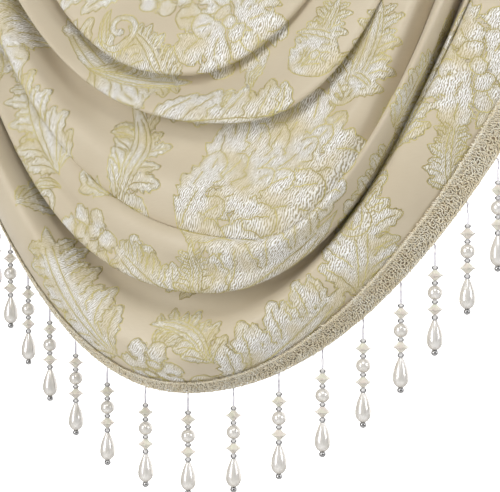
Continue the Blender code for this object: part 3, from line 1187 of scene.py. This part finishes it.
def curl_rows(chance):
    """The curls of cord that cover the band, turned any way in its middle."""
    hem, along, down, front = hem_frames(hem_shares(CURL_PITCH))
    parts = []
    for row in range(CURL_ROWS):
        share = (row + 0.5) / CURL_ROWS
        spread = MIDDLE_TURN if abs(share - 0.5) < MIDDLE_BAND else OUTER_TURN
        lean = mix(CURL_LEAN, -CURL_LEAN, share)
        for i in range(len(hem)):
            place = BRAID_BELOW_EDGE + BRAID_WIDTH * (share - 1) + chance.normal(0, 0.0004)
            start = hem[i] + down[i] * place + along[i] * chance.normal(0, 0.00015)
            start = start + front[i] * (BRAID_CLEARANCE - CURL_SUNK)
            turn = lean + chance.normal(0, spread)
            way = along[i] * math.sin(turn) + down[i] * math.cos(turn)
            reach = way * chance.uniform(*CURL_REACH)
            lift = front[i] * chance.uniform(*CURL_LIFT)
            sway = np.cross(front[i], reach) * chance.uniform(-CURL_SWAY, CURL_SWAY)
            line = curl(start - reach / 2, reach, lift, sway)
            parts.append(cord(line, front[i], CURL_RADIUS, sides=3))
    return parts


def edge_threads(chance):
    """The short slanted threads along both edges of the band."""
    hem, along, down, front = hem_frames(hem_shares(EDGE_PITCH))
    parts = []
    for place in (BRAID_BELOW_EDGE - EDGE_INSET, BRAID_BELOW_EDGE - BRAID_WIDTH + EDGE_INSET):
        for i in range(len(hem)):
            drop = place + chance.normal(0, 0.0002)
            start = hem[i] + down[i] * drop + front[i] * BRAID_CLEARANCE
            reach = along[i] * 0.0020 - down[i] * 0.0014
            line = curl(start - reach / 2, reach, front[i] * 0.0005, down[i] * 0.0001)
            parts.append(cord(line, front[i], CURL_RADIUS * 1.2, sides=3))
    return parts


def build_band():
    """The woven band under the curls, its middle with more painted shade than its two edges, showing
    dark through the gaps between the curls.
    """
    hem, _, down, front = hem_frames(hem_shares(TRIM_STEP))
    corners = []
    for aside, out in BAND_SECTION:
        place = BRAID_BELOW_EDGE - BAND_INSET + aside * (BRAID_WIDTH - 2 * BAND_INSET)
        rise = BRAID_CLEARANCE - BAND_SUNK + BRAID_BASE_THICKNESS * (out - 0.4)
        corners.append(hem + down * place + front * rise)
    points, faces = ribbon(corners)
    # Painted shade: both tones stand in for the shadow seen between the curls, darkest in the middle.
    weave = [gimp_material("gimp_selvage_painted_shade", 0.4), gimp_material("gimp_ground_painted_shade", 0.75)]
    band = make_piece("braid_band", points, faces, weave)
    is_ground = np.arange(len(faces)) % len(BAND_SECTION) == 1
    band.data.polygons.foreach_set("material_index", is_ground.astype(int))
    return band


def build_braid():
    """Gimp braid: a woven band covered in small curls of cord, with slanted threads on its edges."""
    chance = np.random.default_rng(7)
    points, faces = join(curl_rows(chance) + edge_threads(chance))
    loops = make_piece("braid_loops", points, faces, [gimp_material("gimp_cord", 0.0)])
    band = build_band()
    for piece in (loops, band):
        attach(piece, "root")
    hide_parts("hem_braid")
    return [loops, band]


def strand_shares():
    """Shares of the way across at which the strands hang, one pitch apart along the hem."""
    u = np.linspace(0, 1, STRAND_SEARCH_POINTS)
    hem = all_stops(u)[-1]
    travelled = STRAND_PITCH - FIRST_STRAND
    places = []
    for i in range(1, len(u)):
        travelled += np.linalg.norm(hem[i] - hem[i - 1])
        if travelled >= STRAND_PITCH and u[i] < 1 - 1.5 * TRIM_ENDS:
            places.append(u[i])
            travelled -= STRAND_PITCH
    return np.array(places)


def bead_profile(kind, tall):
    """Drops and radii down one bead."""
    wide, _ = BEAD_SIZES[kind]
    if kind == "star":
        t = np.array(STAR_STOPS)
        flange = (wide - STAR_BODY) * np.exp(-np.abs(t) / STAR_FLANGE)
        radius = BEAD_NECK + STAR_SLOPE * (1 - np.abs(t)) + flange
    elif kind == "drop":
        t = np.linspace(-1, 1, 25)
        way = (t + 1) / 2
        swell = np.sin(np.pi / 2 * np.minimum(way / DROP_WIDEST, 1))
        closing = (np.maximum(way - DROP_WIDEST, 0) / DROP_BELOW) ** 2
        upper = BEAD_NECK + (wide - BEAD_NECK) * swell
        radius = np.where(way < DROP_WIDEST, upper, wide * np.sqrt(1 - DROP_CLOSES * closing))
    else:
        t = -np.cos(np.linspace(0, np.pi, 13))
        radius = wide * np.sqrt(np.maximum(1 - t * t, 0.0))
    return np.stack(((t + 1) / 2 * tall, np.maximum(radius, SMALLEST_RADIUS)), axis=1)


def spun(points, angle):
    """The same points turned about the vertical."""
    x, y, z = points.T
    cosine, sine = math.cos(angle), math.sin(angle)
    return np.stack((x * cosine - y * sine, x * sine + y * cosine, z), axis=1)


def strand_threads(top, root_down):
    """The two threads of a strand, which cross between its beads."""
    ways_down = [top - (0, 0, drop) for drop in THREAD_DROPS]
    middle = np.array([top - root_down * THREAD_ROOT, top, *ways_down])
    crossing = np.array(THREAD_CROSSING)[:, None]
    threads = [middle + np.array((aside, 0, 0)) * crossing for aside in (-THREAD_ASIDE, THREAD_ASIDE)]
    return [cord(thread, np.array((0.0, -1.0, 0.0)), THREAD_RADIUS) for thread in threads]


FRINGE_MATERIALS = {
    "clear": clear_material,
    "pearl": pearl_material,
    "star": star_material,
    "ends": silver_material,
    "threads": thread_material,
}


def build_fringe():
    """The fringe: a narrow tape, and every strand's threads and beads."""
    hem, _, down, _ = hem_frames(strand_shares())
    tops = hem + down * (SEAM_GAP + TAPE_WIDTH + STRAND_STUB)
    groups = {group: [] for group in FRINGE_MATERIALS}
    chance = np.random.default_rng(3)
    for top, root_down in zip(tops, down):
        spin = chance.uniform(0, math.pi)
        for kind, start, end in STRAND_BEADS:
            points, faces = turned_bead(bead_profile(kind, end - start), BEAD_SIZES[kind][1])
            points = spun(points, spin) + top - np.array((0, 0, start))
            groups[BEAD_GROUPS.get(kind, kind)].append((points, faces))
        groups["threads"] += strand_threads(top, root_down)
    made = []
    for group, parts in groups.items():
        points, faces = join(parts)
        materials = [FRINGE_MATERIALS[group]()]
        made.append(make_piece("fringe_" + group, points, faces, materials, smooth=group != "star"))
    made.append(build_tape())
    for piece in made:
        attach(piece, "root")
    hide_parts("bead_fringe")
    return made


def build_tape():
    """The narrow tape that every strand is knotted to, under the braid."""
    hem, _, down, front = hem_frames(hem_shares(TRIM_STEP))
    half = front * TAPE_THICKNESS / 2
    top = hem + down * SEAM_GAP
    bottom = top + down * TAPE_WIDTH
    points, faces = ribbon((top + half, bottom + half, bottom - half, top - half))
    # The tape gets a little painted shade, share 0.15.
    return make_piece("fringe_tape", points, faces, [gimp_material("tape_weave", 0.15)], smooth=False)


# Studio

def build_stage():
    """A pale floor that sweeps up into a lit wall, far enough behind to leave room for back views."""
    r = Recipe("studio_white")
    behind = r.node("SeparateXYZ", {0: r.place()}).outputs["Y"]
    r.set(
        Base_Color=r.speckled(3.0, rgb(252, 252, 252), rgb(254, 254, 254)),
        Roughness=0.9,
        Emission_Strength=r.stretch(behind, *SWEEP_SHINES),
        Emission_Color=(1, 1, 1, 1),
    )
    sides = (-SWEEP_HALF_WIDTH, SWEEP_HALF_WIDTH)
    points = np.array([(x, y, z) for y, z in SWEEP for x in sides])
    faces = np.array([(2 * i, 2 * i + 1, 2 * i + 3, 2 * i + 2) for i in range(len(SWEEP) - 1)])
    stage = make_piece("studio_sweep", points, faces, [r.material])


def stand(name, data, azimuth, elevation, distance):
    """A camera or a lamp at these angles, in degrees, from straight in front, aimed at the swag."""
    thing = bpy.data.objects.new(name, data)
    bpy.context.scene.collection.objects.link(thing)
    a, e = math.radians(azimuth), math.radians(elevation)
    back = Vector((math.sin(a) * math.cos(e), -math.cos(a) * math.cos(e), math.sin(e)))
    thing.location = TARGET + back * distance
    thing.rotation_euler = (-back).to_track_quat("-Z", "Y").to_euler()
    return thing


def add_light(name, azimuth, elevation, distance, wide, tall, power):
    """A rectangular soft light aimed at the middle of the swag."""
    light = bpy.data.lights.new(name, "AREA")
    light.shape = "RECTANGLE"
    light.energy = power
    light.size = wide
    light.size_y = tall
    light.color = LIGHT_COLOUR
    stand(name, light, azimuth, elevation, distance)


def build_world():
    """Soft warm light from all round, stronger from the left."""
    world = bpy.data.worlds.new("studio")
    world.use_nodes = True
    tree = world.node_tree
    sky = tree.nodes["Background"]
    sky.inputs["Color"].default_value = SKY_COLOUR
    place = tree.nodes.new("ShaderNodeTexCoord")
    parts = tree.nodes.new("ShaderNodeSeparateXYZ")
    fall = tree.nodes.new("ShaderNodeMapRange")
    for name, value in SKY_FALL.items():
        fall.inputs[name].default_value = value
    tree.links.new(place.outputs["Generated"], parts.inputs[0])
    tree.links.new(parts.outputs["X"], fall.inputs["Value"])
    tree.links.new(fall.outputs["Result"], sky.inputs["Strength"])
    bpy.context.scene.world = world


def build_studio():
    """Camera, world, lights and stage."""
    camera = bpy.data.cameras.new("camera")
    camera.sensor_width = SENSOR_WIDTH
    camera.lens = LENS
    bpy.context.scene.camera = stand("camera", camera, AZIMUTH, ELEVATION, DISTANCE)
    build_world()
    for light in LIGHTS:
        add_light(*light)
    bpy.context.scene.view_settings.view_transform = "Standard"
    build_stage()


def main():
    build_studio()
    grid = cloth_grid()
    flat = flatten(grid)
    low, high = flat.reshape(-1, 2).min(axis=0), flat.reshape(-1, 2).max(axis=0)
    shapes = woven_shapes(low, high)
    lines, seen = visible_lines(shapes)
    shown = []
    for line, show in zip(lines, seen):
        shown += [line[start:end] for start, end in runs(show) if end - start >= SHORTEST_RUN]
    cloth = build_cloth(grid, flat, shapes, shown)
    gold = build_gold(grid, normals_of(grid), flat, lines, seen)
    braid = build_braid()
    fringe = build_fringe()


main()
